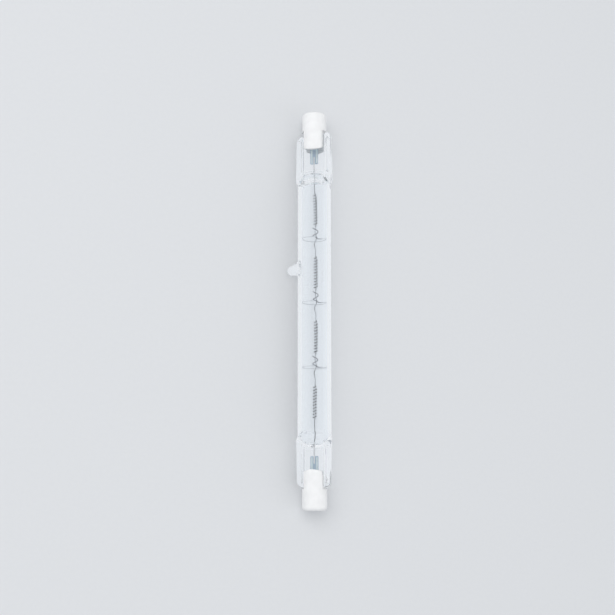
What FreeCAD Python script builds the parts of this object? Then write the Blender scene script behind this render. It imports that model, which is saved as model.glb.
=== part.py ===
import FreeCAD, Part
import math
import os

# Linear halogen bulb with a clear quartz envelope, pressed seals and two ceramic end caps.
# The lamp is drawn on its own axes and then laid down as it comes to rest.
#   Y runs along the lamp, from cap b (negative) to cap a (positive).
#   X runs across the flat of the seals, with the exhaust tip on the negative side.
#   Z is square to the flat of the seals.
# All sizes are in millimetres.

Vector = FreeCAD.Vector
AXIS_Y = Vector(0, 1, 0)

# The lamp's overall length, over both caps
LAMP_LENGTH = 117.6

# Envelope: a drawn quartz tube
TUBE_RADIUS = 4.9
WALL = 1.1
SHOULDER_LENGTH = 4.0
SHOULDER_BEND = 1.2
BORE_NOSE_HALF = 0.7
BORE_NOSE_ROUND = 0.56
BORE_CORNER_ROUND = 1.9

# Pressed seals: a thin web between two thicker rails
SEAL_WIDTH_A = 10.7
SEAL_WIDTH_B = 10.1
SEAL_TAPER = 0.4
SEAL_SLANT_A = 1.7
SEAL_SLANT_B = 0.3
SEAL_CORNER_ROUND = 1.6
SEAL_SHOULDER_ROUND = 0.8
SEAL_OUTER_MARGIN = 1.3
SEAL_INNER_MARGIN = 2.1
RAIL_WIDTH = 1.9
RAIL_THICKNESS = 4.0
RAIL_ROUND = 1.1
WEB_THICKNESS = 2.3
WEB_ROUND = 0.45

# Exhaust tip, where the filling tube was melted off
TIP_Y = 11.2
TIP_HEIGHT = 3.3
TIP_ROUND = 1.4
TIP_BASE_RADIUS = 1.75
TIP_LEAN = 7.0
TIP_FILLET = 1.0
TIP_HOLLOW_RADIUS = 0.8
TIP_HOLLOW_DEPTH = 1.9
TIP_HOLLOW_END = 0.2

# Filament: one wire with four coiled stretches
WIRE_DIAMETER = 0.33
COIL_OUTER_DIAMETER = 1.36
COIL_PITCH = 0.87
COIL_TURNS = 11
COIL_COUNT = 4
COIL_SHIFT = 0.7
COIL_OFFSET = 0.35
COIL_BEND = 0.5
TAIL_LENGTH = 5.24

# Wires are drawn with flat sides, their windings in straight steps, and eased edges in a few
WIRE_SIDES = 5
WINDING_STEPS = 9
SUPPORT_RING_STEPS = 18
EASE_STEPS = 2

# Filament supports: a loose inner loop on the wire and an outer ring near the bore
SUPPORT_WIRE = 0.26
SUPPORT_GRIP_PLAY = 0.45
SUPPORT_GRIP_LENGTH = 3.4
SUPPORT_GRIP_TURNS = 1.5
SUPPORT_RING_GAP = 0.12
SUPPORT_RING_ARC = 285.0
SUPPORT_RING_PLACE = 0.65

# Electrical way through each seal: inner lead, foil and outer lead
INNER_LEAD_DIAMETER = 0.46
INNER_LEAD_FREE = 4.7
INNER_LEAD_OVERLAP = 2.2
FOIL_LENGTH = 7.6
FOIL_WIDTH = 2.4
FOIL_THICKNESS = 0.06
OUTER_LEAD_DIAMETER = 0.64
OUTER_LEAD_OVERLAP = 2.0

# Ceramic caps
CAP_LENGTH = 11.6
CAP_BEYOND_SEAL = 6.6
CAP_RADIUS = 3.6
CAP_RIM = 1.3
CAP_EDGE_ROUND = 1.1
SLOT_CLEARANCE = 0.35
SLOT_FLOOR_CLEARANCE = 0.35
TONGUE_ARCH = 0.55
RECESS_DEPTH = 1.7

# Contact buttons: a domed head in a pocket of the recess, on a shank that holds the outer lead
POCKET_STEP = 0.3
HEAD_CLEARANCE = 0.1
HEAD_THICKNESS = 0.8
HEAD_EDGE = 0.45
HEAD_DOME = 1.5
SHANK_DIAMETER = 2.0
SHANK_LENGTH = 1.5

# Cement between the seal and the slot of the cap
CEMENT_SETBACK = 0.5
CEMENT_INSET = 0.45

# Places on Y at the positive end, from the outside in
CAP_OUTER_Y = LAMP_LENGTH / 2
CAP_INNER_Y = CAP_OUTER_Y - CAP_LENGTH
SEAL_OUTER_Y = CAP_OUTER_Y - CAP_BEYOND_SEAL
FOIL_INNER_Y = SEAL_OUTER_Y - SEAL_OUTER_MARGIN - FOIL_LENGTH
SHOULDER_Y = FOIL_INNER_Y - SEAL_INNER_MARGIN - SHOULDER_LENGTH
TAIL_END_Y = FOIL_INNER_Y - INNER_LEAD_FREE

# Sizes that follow from the ones above
BORE_RADIUS = TUBE_RADIUS - WALL
TIP_REACH = TUBE_RADIUS + TIP_HEIGHT
COIL_LENGTH = COIL_PITCH * COIL_TURNS
COIL_SPACING = (2 * (TAIL_END_Y - TAIL_LENGTH) - COIL_LENGTH) / (COIL_COUNT - 1)
SLOT_HEIGHT = RAIL_THICKNESS + 2 * SLOT_CLEARANCE
RECESS_RADIUS = CAP_RADIUS - CAP_RIM
POCKET_RADIUS = RECESS_RADIUS - POCKET_STEP

ENDS = (
    ("a", 1, SEAL_WIDTH_A, SEAL_SLANT_A),
    ("b", -1, SEAL_WIDTH_B, SEAL_SLANT_B),
)
# Past any piece of the lamp, near enough to be the same place, and nearly in line
REACH = 3 * TUBE_RADIUS
NEAR = 0.05
ALONG = 0.95


def cylinder_y(radius, start, end, x=0.0, z=0.0):
    """A cylinder along the lamp, between two places on Y."""
    low = min(start, end)
    return Part.makeCylinder(radius, abs(end - start), Vector(x, low, z), AXIS_Y)


def box_between(low, high):
    """A box from its lowest to its highest corner."""
    size = [b - a for a, b in zip(low, high)]
    return Part.makeBox(size[0], size[1], size[2], Vector(*low))


def face_from(points):
    """A flat face with straight sides through the given points."""
    corners = [Vector(*point) for point in points]
    return Part.Face(Part.makePolygon(corners + corners[:1]))


def edges_along(shape, axis):
    """The straight edges of a solid that run mostly along one axis."""
    found = []
    for edge in shape.Edges:
        if isinstance(edge.Curve, (Part.Line, Part.LineSegment)):
            direction = edge.tangentAt(edge.FirstParameter)
            if abs(direction.dot(axis)) > ALONG:
                found.append(edge)
    return found


def eased(before, corner, after, reach_before, reach_after):
    """Points in place of a corner, on the soft curve that is tangent to both sides."""
    first = corner + (before - corner).normalize() * reach_before
    last = corner + (after - corner).normalize() * reach_after
    points = []
    for k in range(EASE_STEPS + 1):
        share = k / EASE_STEPS
        points.append(first * (1 - share) ** 2 + corner * 2 * share * (1 - share) + last * share ** 2)
    return points


def turned(points):
    """A solid of revolution about the lamp's axis."""
    outline = Part.makePolygon(points + points[:1])
    return Part.Face(outline).revolve(Vector(0, 0, 0), AXIS_Y, 360)


def mirrored_end(shape, side):
    """The same shape for the other end of the lamp when side is negative."""
    if side > 0:
        return shape
    return shape.mirror(Vector(0, 0, 0), AXIS_Y)


def side_profile(points, width):
    """A prism across the lamp from points given as (Y, Z)."""
    face = face_from([(-width / 2, y, z) for y, z in points])
    return face.extrude(Vector(width, 0, 0))


def rounded_at(solid, axis, places, radius):
    """Rounds the edges along an axis that pass near the given (Y, Z) or (X, Y) places."""
    chosen = []
    for edge in edges_along(solid, axis):
        middle = edge.valueAt((edge.FirstParameter + edge.LastParameter) / 2)
        seen = (middle.y, middle.z) if abs(axis.x) > ALONG else (middle.x, middle.y)
        if any(math.dist(seen, place) < NEAR for place in places):
            chosen.append(edge)
    return solid.makeFillet(radius, chosen) if chosen else solid


def seal_outline(width, slant, height):
    """The seal seen from above, as a prism, at the positive end."""
    inner = width / 2
    outer = (width - SEAL_TAPER) / 2
    far_left = SEAL_OUTER_Y - slant / 2
    far_right = SEAL_OUTER_Y + slant / 2
    corners = [
        (-inner, SHOULDER_Y, -height / 2),
        (inner, SHOULDER_Y, -height / 2),
        (outer, far_right, -height / 2),
        (-outer, far_left, -height / 2),
    ]
    return face_from(corners).extrude(Vector(0, 0, height))


def seal_block(width, slant):
    """One pressed seal at the positive end, as thick as its rails, before the jaws shape it."""
    block = seal_outline(width, slant, RAIL_THICKNESS)
    long_edges = edges_along(block, AXIS_Y)
    block = block.makeFillet(RAIL_ROUND, long_edges)
    outline = seal_outline(width, slant, 2 * RAIL_THICKNESS)
    upright = edges_along(outline, Vector(0, 0, 1))
    outer = [edge for edge in upright if edge.CenterOfMass.y > SEAL_OUTER_Y - slant]
    outline = outline.makeFillet(SEAL_CORNER_ROUND, outer)
    upright = edges_along(outline, Vector(0, 0, 1))
    inner = [edge for edge in upright if abs(edge.CenterOfMass.y - SHOULDER_Y) < NEAR]
    outline = outline.makeFillet(SEAL_SHOULDER_ROUND, inner)
    return block.common(outline)


def press_jaw(half_width, floor, bend):
    """One jaw of the press at the positive end: it slopes down to a flat floor."""
    start = SHOULDER_Y
    run = SHOULDER_LENGTH * (TUBE_RADIUS - floor) / (TUBE_RADIUS - WEB_THICKNESS / 2)
    beyond = SEAL_OUTER_Y + REACH
    slope_end = (start + run, floor)
    points = [
        (start, TUBE_RADIUS),
        slope_end,
        (beyond, floor),
        (beyond, REACH),
        (start, REACH),
    ]
    jaw = side_profile(points, 2 * half_width)
    return rounded_at(jaw, Vector(1, 0, 0), [slope_end], bend)


def press_tool(width):
    """The four jaws that shape one seal, on both faces."""
    half_web = width / 2 - RAIL_WIDTH
    floor = WEB_THICKNESS / 2
    rail_jaw = press_jaw(REACH, RAIL_THICKNESS / 2, SHOULDER_BEND)
    web_jaw = press_jaw(half_web, floor, SHOULDER_BEND)
    bar = box_between((-half_web, SHOULDER_Y - 1, floor), (half_web, SEAL_OUTER_Y + REACH, REACH))
    low_edges = [edge for edge in edges_along(bar, AXIS_Y) if edge.CenterOfMass.z < floor + NEAR]
    bar = bar.makeFillet(WEB_ROUND, low_edges)
    upper = rail_jaw.fuse(web_jaw.common(bar))
    lower = upper.mirror(Vector(0, 0, 0), Vector(0, 0, 1))
    return upper, lower


def half_envelope_outside(side, width, slant):
    """Half of the tube's outside with one pressed seal."""
    tube = cylinder_y(TUBE_RADIUS, 0, SHOULDER_Y + SHOULDER_LENGTH)
    body = tube.fuse(seal_block(width, slant))
    for jaw in press_tool(width):
        body = body.cut(jaw)
    return mirrored_end(body, side)


def half_bore(side):
    """Half of the bore, closed at the seal like a wedge with a rounded edge."""
    wall = TUBE_RADIUS - BORE_RADIUS
    angle = math.atan2(TUBE_RADIUS - WEB_THICKNESS / 2, SHOULDER_LENGTH)
    slope_start = SHOULDER_Y - wall * math.tan(angle / 2)
    nose_y = slope_start + (BORE_RADIUS - BORE_NOSE_HALF) / math.tan(angle)
    wedge_points = [
        (0, -BORE_RADIUS),
        (slope_start, -BORE_RADIUS),
        (nose_y, -BORE_NOSE_HALF),
        (nose_y, BORE_NOSE_HALF),
        (slope_start, BORE_RADIUS),
        (0, BORE_RADIUS),
    ]
    wedge = side_profile(wedge_points, 2 * TUBE_RADIUS)
    nose_corners = [(nose_y, -BORE_NOSE_HALF), (nose_y, BORE_NOSE_HALF)]
    wedge = rounded_at(wedge, Vector(1, 0, 0), nose_corners, BORE_NOSE_ROUND)
    outline = box_between((-BORE_RADIUS, 0, -TUBE_RADIUS), (BORE_RADIUS, nose_y, TUBE_RADIUS))
    corners = [(-BORE_RADIUS, nose_y), (BORE_RADIUS, nose_y)]
    outline = rounded_at(outline, Vector(0, 0, 1), corners, BORE_CORNER_ROUND)
    bore = cylinder_y(BORE_RADIUS, 0, nose_y).common(wedge).common(outline)
    return mirrored_end(bore, side)


def tip_solid(base_radius, reach, round_radius, start):
    """A tapered stub with a round end, pointing to the negative side of X."""
    taper = math.asin((base_radius - round_radius) / (reach - start))
    centre = reach - round_radius
    meet_along = centre + round_radius * math.sin(taper)
    meet_out = round_radius * math.cos(taper)
    foot = Vector(-start, 0, 0)
    wide = Vector(-start, base_radius, 0)
    meet = Vector(-meet_along, meet_out, 0)
    half_turn = (math.pi / 2 - taper) / 2
    middle = Vector(-centre - round_radius * math.cos(half_turn), round_radius * math.sin(half_turn), 0)
    apex = Vector(-reach, 0, 0)
    outline = Part.Wire([
        Part.LineSegment(foot, wide).toShape(),
        Part.LineSegment(wide, meet).toShape(),
        Part.Arc(meet, middle, apex).toShape(),
        Part.LineSegment(apex, foot).toShape(),
    ])
    return at_tip(Part.Face(outline).revolve(Vector(0, 0, 0), Vector(1, 0, 0), 360))


def at_tip(shape):
    """Leans a shape on the negative side of X and moves it to the exhaust tip's place."""
    shape.rotate(Vector(-TUBE_RADIUS, 0, 0), Vector(0, 0, 1), TIP_LEAN)
    shape.translate(Vector(0, TIP_Y, 0))
    return shape


def with_exhaust_tip(body):
    """Adds the melted-off exhaust tip, with a soft fillet where it grows out of the tube."""
    wall_middle = (TUBE_RADIUS + BORE_RADIUS) / 2
    tip = tip_solid(TIP_BASE_RADIUS, TIP_REACH, TIP_ROUND, wall_middle)
    joined = body.fuse(tip)
    root = []
    for edge in joined.Edges:
        middle = edge.valueAt((edge.FirstParameter + edge.LastParameter) / 2)
        on_tube = abs(math.hypot(middle.x, middle.z) - TUBE_RADIUS) < NEAR
        if on_tube and middle.x < 0 and abs(middle.y - TIP_Y) < 2 * TIP_BASE_RADIUS:
            root.append(edge)
    return joined.makeFillet(TIP_FILLET, root)


def make_envelope(embedded):
    """The quartz envelope, with its bore and the room for what is pressed into its seals."""
    body = None
    for name, side, width, slant in ENDS:
        half = half_envelope_outside(side, width, slant)
        body = half if body is None else body.fuse(half)
    body = with_exhaust_tip(body.removeSplitter())
    bore = half_bore(1).fuse(half_bore(-1)).removeSplitter()
    hollow_start = BORE_RADIUS - TIP_HOLLOW_RADIUS
    hollow = at_tip(Part.makeCone(
        TIP_HOLLOW_RADIUS, TIP_HOLLOW_END, TIP_HOLLOW_DEPTH + TIP_HOLLOW_RADIUS,
        Vector(-hollow_start, 0, 0), Vector(-1, 0, 0)))
    body = body.cut(bore.fuse(hollow))
    for piece in embedded:
        body = body.cut(piece)
    return body


def coil_centre(index):
    """The middle of one coiled stretch, on Y."""
    return COIL_SHIFT + (index - (COIL_COUNT - 1) / 2) * COIL_SPACING


def wire_section(centre, direction, diameter):
    """The corners of a many-sided wire section, with the area of the round one."""
    corner = diameter / 2 * math.sqrt(2 * math.pi / (WIRE_SIDES * math.sin(2 * math.pi / WIRE_SIDES)))
    across = direction.cross(Vector(0, 0, 1)).normalize()
    up = direction.cross(across)
    corners = []
    for k in range(WIRE_SIDES):
        turn = 2 * math.pi * k / WIRE_SIDES
        corners.append(centre + across * (corner * math.cos(turn)) + up * (corner * math.sin(turn)))
    return corners


def bent_wire(points, diameter):
    """A wire along straight runs between points, mitred where it bends."""
    runs = [(b - a).normalize() for a, b in zip(points, points[1:])]
    corners = wire_section(points[0], runs[0], diameter)
    sections = [corners]
    for k in range(1, len(points)):
        ahead = runs[k] if k < len(runs) else runs[k - 1]
        normal = runs[k - 1] + ahead
        moved = []
        for corner in corners:
            step = (points[k] - corner).dot(normal) / runs[k - 1].dot(normal)
            moved.append(corner + runs[k - 1] * step)
        corners = moved
        sections.append(corners)
    rings = [Part.makePolygon(corners + corners[:1]) for corners in sections]
    return Part.makeLoft(rings, True, True)


def winding(centre_x, start_y, radius, length, turns):
    """Points along a helix about Y, which starts on the positive side of X."""
    steps = round(turns * WINDING_STEPS)
    spread = radius / math.sqrt(math.cos(math.pi / WINDING_STEPS))
    points = []
    for k in range(steps + 1):
        turn = 2 * math.pi * turns * k / steps
        y = start_y + length * k / steps
        points.append(Vector(centre_x + spread * math.cos(turn), y, spread * math.sin(turn)))
    return points


def make_filament():
    """One tungsten wire: coiled stretches joined by straight ones on their axis."""
    mean_radius = (COIL_OUTER_DIAMETER - WIRE_DIAMETER) / 2
    points = [Vector(0, -TAIL_END_Y, 0)]
    for index in range(COIL_COUNT):
        start = coil_centre(index) - COIL_LENGTH / 2
        first = index == 0
        last = index == COIL_COUNT - 1
        points.append(Vector(0 if first else COIL_OFFSET, start - COIL_BEND, 0))
        points += winding(COIL_OFFSET, start, mean_radius, COIL_LENGTH, COIL_TURNS)
        points.append(Vector(0 if last else COIL_OFFSET, start + COIL_LENGTH + COIL_BEND, 0))
    points.append(Vector(0, TAIL_END_Y, 0))
    return bent_wire(points, WIRE_DIAMETER)


def make_support(index):
    """A support wire between two coiled stretches: a loose grip, an arm and a wide ring."""
    middle = (coil_centre(index) + coil_centre(index + 1)) / 2
    grip_radius = WIRE_DIAMETER / 2 + SUPPORT_GRIP_PLAY + SUPPORT_WIRE / 2
    ring_radius = BORE_RADIUS - SUPPORT_RING_GAP - SUPPORT_WIRE / 2
    ring_y = middle + SUPPORT_RING_PLACE
    grip = winding(COIL_OFFSET, ring_y, grip_radius, SUPPORT_GRIP_LENGTH, SUPPORT_GRIP_TURNS)
    points = grip[::-1]
    for k in range(SUPPORT_RING_STEPS + 1):
        turn = -math.radians(SUPPORT_RING_ARC) * k / SUPPORT_RING_STEPS
        points.append(Vector(ring_radius * math.cos(turn), ring_y, ring_radius * math.sin(turn)))
    return bent_wire(points, SUPPORT_WIRE)


def make_foil(side):
    """The sealing foil, as thin as the leads that are welded on one face of it."""
    top = -INNER_LEAD_DIAMETER / 2
    low = (-FOIL_WIDTH / 2, FOIL_INNER_Y, top - FOIL_THICKNESS)
    high = (FOIL_WIDTH / 2, FOIL_INNER_Y + FOIL_LENGTH, top)
    return mirrored_end(box_between(low, high), side)


def make_inner_lead(side):
    """The inner lead, from its weld on the foil to the filament's tail."""
    lead = cylinder_y(INNER_LEAD_DIAMETER / 2, TAIL_END_Y, FOIL_INNER_Y + INNER_LEAD_OVERLAP)
    return mirrored_end(lead, side)


def contact_seat():
    """The place on Y of the pocket's floor, which the contact's head rests on."""
    return CAP_OUTER_Y - RECESS_DEPTH - HEAD_THICKNESS


def outer_lead_height():
    """The outer lead lies on the same face of the foil as the inner one."""
    return (OUTER_LEAD_DIAMETER - INNER_LEAD_DIAMETER) / 2


def make_outer_lead(side):
    """The outer lead, from its weld on the foil into the contact's shank."""
    start = FOIL_INNER_Y + FOIL_LENGTH - OUTER_LEAD_OVERLAP
    lead = cylinder_y(OUTER_LEAD_DIAMETER / 2, start, contact_seat(), 0, outer_lead_height())
    return mirrored_end(lead, side)


def make_contact(side):
    """The contact button, turned, with a domed head and a shank bored for the lead."""
    seat = contact_seat()
    head_radius = POCKET_RADIUS - HEAD_CLEARANCE
    shank_radius = SHANK_DIAMETER / 2
    top = seat + HEAD_THICKNESS
    shank_end = seat - SHANK_LENGTH
    under_rim = Vector(head_radius, seat, 0)
    summit = Vector(0, top, 0)
    shank = [Vector(0, shank_end, 0), Vector(shank_radius, shank_end, 0), Vector(shank_radius, seat, 0)]
    dome = eased(under_rim, Vector(head_radius, top, 0), summit, HEAD_EDGE, HEAD_DOME)
    solid = turned(shank + [under_rim] + dome + [summit])
    lead_hole = cylinder_y(OUTER_LEAD_DIAMETER / 2, shank_end - 1, seat, 0, outer_lead_height())
    return mirrored_end(solid.cut(lead_hole), side)


def slot_floor(slant):
    """The bottom of the cap's slot, clear of the seal's end where the slot is wide."""
    rise = slant * CAP_RADIUS / SEAL_WIDTH_B
    return SEAL_OUTER_Y + rise + SLOT_FLOOR_CLEARANCE


def slot_block(slant, inner):
    """The room inside the cap's slot, from a place on Y to its floor."""
    half = SLOT_HEIGHT / 2
    return box_between((-REACH, inner, -half), (REACH, slot_floor(slant), half))


def make_cap(side, slant):
    """The ceramic cap: a round body, two tongues over the seal and a recess for the contact."""
    side_wall = Vector(CAP_RADIUS, CAP_INNER_Y, 0)
    corner = Vector(CAP_RADIUS, CAP_OUTER_Y, 0)
    mouth = Vector(RECESS_RADIUS, CAP_OUTER_Y, 0)
    edge = eased(side_wall, corner, mouth, CAP_EDGE_ROUND, CAP_EDGE_ROUND)
    floor = CAP_OUTER_Y - RECESS_DEPTH
    recess = [mouth, Vector(RECESS_RADIUS, floor, 0), Vector(POCKET_RADIUS, floor, 0)]
    pocket = [Vector(POCKET_RADIUS, contact_seat(), 0), Vector(0, contact_seat(), 0)]
    body = turned([Vector(0, CAP_INNER_Y, 0), side_wall] + edge + recess + pocket)
    body = body.cut(slot_block(slant, CAP_INNER_Y - 1))
    chord = 2 * math.sqrt(CAP_RADIUS ** 2 - (SLOT_HEIGHT / 2) ** 2)
    arch_radius = (chord ** 2 / 4 + TONGUE_ARCH ** 2) / (2 * TONGUE_ARCH)
    keep = Part.makeCylinder(
        arch_radius, 2 * REACH, Vector(0, CAP_INNER_Y + arch_radius, -REACH), Vector(0, 0, 1))
    ahead = cylinder_y(CAP_RADIUS + 1, CAP_INNER_Y + TONGUE_ARCH, CAP_OUTER_Y + 1)
    body = body.common(keep.fuse(ahead))
    hole_radius = SHANK_DIAMETER / 2
    body = body.cut(cylinder_y(hole_radius, slot_floor(slant) - 1, CAP_OUTER_Y))
    return mirrored_end(body.removeSplitter(), side)


def make_cement(side, slant, envelope, neighbours):
    """The cement that beds the seal in the cap's slot and round the contact's shank."""
    filling = cylinder_y(CAP_RADIUS - CEMENT_INSET, CAP_INNER_Y + CEMENT_SETBACK + TONGUE_ARCH, CAP_OUTER_Y)
    filling = filling.common(slot_block(slant, CAP_INNER_Y))
    shank_end = contact_seat() - SHANK_LENGTH
    if shank_end > slot_floor(slant):
        filling = filling.fuse(cylinder_y(SHANK_DIAMETER / 2, slot_floor(slant) - NEAR, shank_end))
    filling = mirrored_end(filling, side)
    for piece in [envelope] + neighbours:
        filling = filling.cut(piece)
    return filling


def largest_solid(shape):
    """The main solid of a shape, without loose slivers."""
    return max(shape.Solids, key=lambda solid: solid.Volume)


def rest_angle():
    """How far the lamp turns about its axis until the exhaust tip touches the surface."""
    tip_centre = TIP_REACH - TIP_ROUND
    return math.asin((TUBE_RADIUS - TIP_ROUND) / tip_centre)


def lay_down(parts):
    """Turns the lamp to its rest on tube and tip, over the middle of its own footprint."""
    turn = -math.degrees(rest_angle())
    for shape in parts.values():
        shape.rotate(Vector(0, 0, 0), AXIS_Y, turn)
    boxes = [shape.optimalBoundingBox(False, False) for shape in parts.values()]
    low_x = min(box.XMin for box in boxes)
    high_x = max(box.XMax for box in boxes)
    low_y = min(box.YMin for box in boxes)
    high_y = max(box.YMax for box in boxes)
    low_z = min(box.ZMin for box in boxes)
    shift = Vector(-(low_x + high_x) / 2, -(low_y + high_y) / 2, -low_z)
    for shape in parts.values():
        shape.translate(shift)
    return shift


def make_lamp():
    """Every piece of the lamp by its name, on the lamp's own axes."""
    parts = {}
    embedded = []
    for name, side, width, slant in ENDS:
        parts["molybdenum_foil_" + name] = make_foil(side)
        parts["inner_lead_" + name] = make_inner_lead(side)
        parts["outer_lead_" + name] = make_outer_lead(side)
        embedded.append(parts["molybdenum_foil_" + name])
        embedded.append(parts["inner_lead_" + name])
        embedded.append(parts["outer_lead_" + name])
    envelope = largest_solid(make_envelope(embedded))
    parts["quartz_envelope"] = envelope
    parts["filament"] = make_filament()
    for index in range(COIL_COUNT - 1):
        parts["filament_support_%d" % (index + 1)] = make_support(index)
    for name, side, width, slant in ENDS:
        parts["ceramic_cap_" + name] = make_cap(side, slant)
        parts["contact_" + name] = make_contact(side)
        lead = parts["outer_lead_" + name]
        cement = make_cement(side, slant, envelope, [lead, parts["contact_" + name]])
        parts["cement_" + name] = largest_solid(cement)
    return parts


def main():
    parts = make_lamp()
    shift = lay_down(parts)
    os.makedirs("parts", exist_ok=True)
    for name, shape in parts.items():
        shape.exportStep("parts/" + name + ".step")
        count = len(shape.Solids)
        print("%-22s solids %d  valid %s  volume %9.3f" % (name, count, shape.isValid(), shape.Volume))
    print("rest angle %.2f degrees, lamp axis at x %.3f, z %.3f" % (
        math.degrees(rest_angle()), shift.x, shift.z))


main()
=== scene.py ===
import bpy
import bmesh
import math
import numpy as np
from mathutils import Matrix, Vector, noise


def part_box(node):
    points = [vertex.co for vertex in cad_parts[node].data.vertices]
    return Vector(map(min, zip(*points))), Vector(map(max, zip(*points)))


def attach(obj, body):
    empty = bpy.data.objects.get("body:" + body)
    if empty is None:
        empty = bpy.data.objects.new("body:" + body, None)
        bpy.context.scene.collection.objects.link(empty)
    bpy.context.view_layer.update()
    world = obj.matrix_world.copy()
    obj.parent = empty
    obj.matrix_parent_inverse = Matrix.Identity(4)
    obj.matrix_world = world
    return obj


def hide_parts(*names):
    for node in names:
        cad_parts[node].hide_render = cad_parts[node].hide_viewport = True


# Looks of a linear halogen bulb: clear quartz, a coiled filament, pressed seals and white end caps.
# Pieces are drawn on the lamp's own axes in millimetres and then laid where the frame has the lamp:
#   Y runs along the lamp towards cap a, X across the flat of the seals, Z square to that flat.

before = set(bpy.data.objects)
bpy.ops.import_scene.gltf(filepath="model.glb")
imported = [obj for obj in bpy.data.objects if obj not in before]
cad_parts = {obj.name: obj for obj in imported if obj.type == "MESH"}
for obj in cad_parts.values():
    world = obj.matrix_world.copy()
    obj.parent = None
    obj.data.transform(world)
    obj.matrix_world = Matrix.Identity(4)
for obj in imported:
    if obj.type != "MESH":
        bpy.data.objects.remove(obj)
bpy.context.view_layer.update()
MM = 0.001
AROUND = 2 * math.pi

# Places that the frame gives, in millimetres
CAP_OUTER_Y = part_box("ceramic_cap_a")[1].y / MM
CAP_INNER_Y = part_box("ceramic_cap_a")[0].y / MM
FOIL_INNER_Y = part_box("molybdenum_foil_a")[0].y / MM
FOIL_OUTER_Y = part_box("molybdenum_foil_a")[1].y / MM
TAIL_END_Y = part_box("filament")[1].y / MM
LEAD_INNER_END_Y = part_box("inner_lead_a")[1].y / MM
LEAD_OUTER_START_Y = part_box("outer_lead_a")[0].y / MM
CONTACT_SEAT_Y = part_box("outer_lead_a")[1].y / MM
CONTACT_TOP_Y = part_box("contact_a")[1].y / MM
CONTACT_END_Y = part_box("contact_a")[0].y / MM
AXIS = (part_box("contact_a")[0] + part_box("contact_b")[1]) / 2

# Envelope
TUBE_RADIUS = 4.9
BORE_RADIUS = 3.8
SHOULDER_Y = 37.2
SHOULDER_LENGTH = 4.0
SEAL_OUTER_Y = 52.2
SEAL_WIDTH = {"a": 10.7, "b": 10.1}
SEAL_SLANT = {"a": 1.7, "b": 0.3}
SEAL_SHIFT = {"a": 0.0, "b": -0.12}
SEAL_TAPER = 0.4
SEAL_CORNER_ROUND = 1.6
SEAL_FACE_ROUND = 0.9
RAIL_WIDTH = 1.9
RAIL_HALF = 2.0
RAIL_ROUND = 1.1
WEB_HALF = 1.15
WEB_STEP = 0.5
FLANK_START = {"a": (36.6, 36.9), "b": (37.4, 37.0)}
FLANK_LENGTH = {"a": (1.3, 2.1), "b": (1.3, 1.7)}
BORE_SLOPE_START_Y = 35.9
BORE_NOSE_Y = 39.5
BORE_NOSE_HALF = 0.35
BORE_NOSE_ROUND = 2.4
RIPPLE = 0.035
RIPPLE_SIZE = 1.7
ENVELOPE_QUARTER = 48
ENVELOPE_AROUND = 4 * ENVELOPE_QUARTER
BORE_AROUND = 128
CLOSEST_RINGS = 0.02
# Rays that were mirrored more often than this go straight on through the glass.
MOST_MIRRORINGS = 3.5

# Exhaust tip
TIP_Y = 11.45
TIP_HEIGHT = 3.3
TIP_ROUND = 1.4
TIP_BASE_RADIUS = 1.75
TIP_LEAN = math.radians(7)
TIP_SKIRT = 0.7
TIP_FILLET = 0.9
TIP_DISC = 5.0
HOLLOW_HEIGHT = 0.8
HOLLOW_RADIUS = 0.55
HOLLOW_ROUND = 0.3
HOLLOW_FILLET = 0.5
HOLLOW_DISC = 2.2

# Filament: a fine coil that is wound once more into four stretches
COIL_RADIUS = 0.515
COIL_PITCH = 0.87
COIL_TURNS = 11
COIL_COUNT = 4
COIL_SHIFT = 0.7
COIL_OFFSETS = (0.05, 0.4, 0.35, 0.3)
COIL_AXIS_X = 0.3
TAIL_LENGTH = 5.24
STRAIGHT_END = 2
LINE_STEP = 0.012
RUN_IN = (0.35, 0.45)
GAP_WAVE = 0.38
GAP_WAVES = 2
STRAND_DIAMETER = 0.29
STRAND_WIRE = 0.075
STRAND_PITCH = 0.105
STRAND_STEPS = 8

# Supports
SUPPORT_WIRE = 0.22
SUPPORT_GRIP_RADIUS = 0.745
SUPPORT_GRIP_LENGTH = 3.4
SUPPORT_GRIP_TURNS = 1.5
SUPPORT_RING_RADIUS = 3.55
SUPPORT_RING_ARC = math.radians(285)
SUPPORT_RING_PLACE = 0.65
# How far from the coils' axis the wire is dark, and from where it is pale.
SUPPORT_DARK_REACH = 0.9
SUPPORT_PALE_REACH = 2.2

# Leads and foils
INNER_LEAD_RADIUS = 0.23
OUTER_LEAD_RADIUS = 0.32
FOIL_WIDTH = 2.4
FOIL_THICKNESS = 0.06
FOIL_EDGE = 0.004
FOIL_CRUMPLE = 0.02
# The colour of the painted shade on the foil.
FOIL_PAINTED_SHADE_COLOUR = (0.58, 0.70, 0.81, 1)
# Each band of painted shade on the foil: the direction in which it is measured, where it is dark and where
# it is clear.
FOIL_PAINTED_SHADE_BANDS = (
    ((1, 0, 0), 0.42, 0.56),
    ((1, 0, 0), 1.1, 0.94),
    ((0, 1, 0), FOIL_INNER_Y + 0.2, FOIL_INNER_Y + 0.4),
)

# Caps and contacts
CAP_RADIUS = 3.6
CAP_EDGE_ROUND = 1.1
RECESS_RADIUS = 2.3
RECESS_DEPTH = 1.7
POCKET_RADIUS = 2.0
SLOT_HALF = 2.35
SLOT_GAP = 0.35
TONGUE_ARCH = 0.55
CAP_EASE = 0.13
RIM_ROUND = 0.22
FLOOR_ROUND = 0.12
SLOT_CUTTER_HALF = 9
TONGUE_CUTTER_HALF = 6
HEAD_RADIUS = 1.9
HEAD_ROUND = 0.35
HEAD_CROWN = 0.12
GROOVE_RADIUS = 1.15
GROOVE_WIDTH = 0.07
GROOVE_DEPTH = 0.035
SHANK_RADIUS = 1.0
# The radius that stands for a point on a turned form's axis.
POINT = 0.0001

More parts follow.
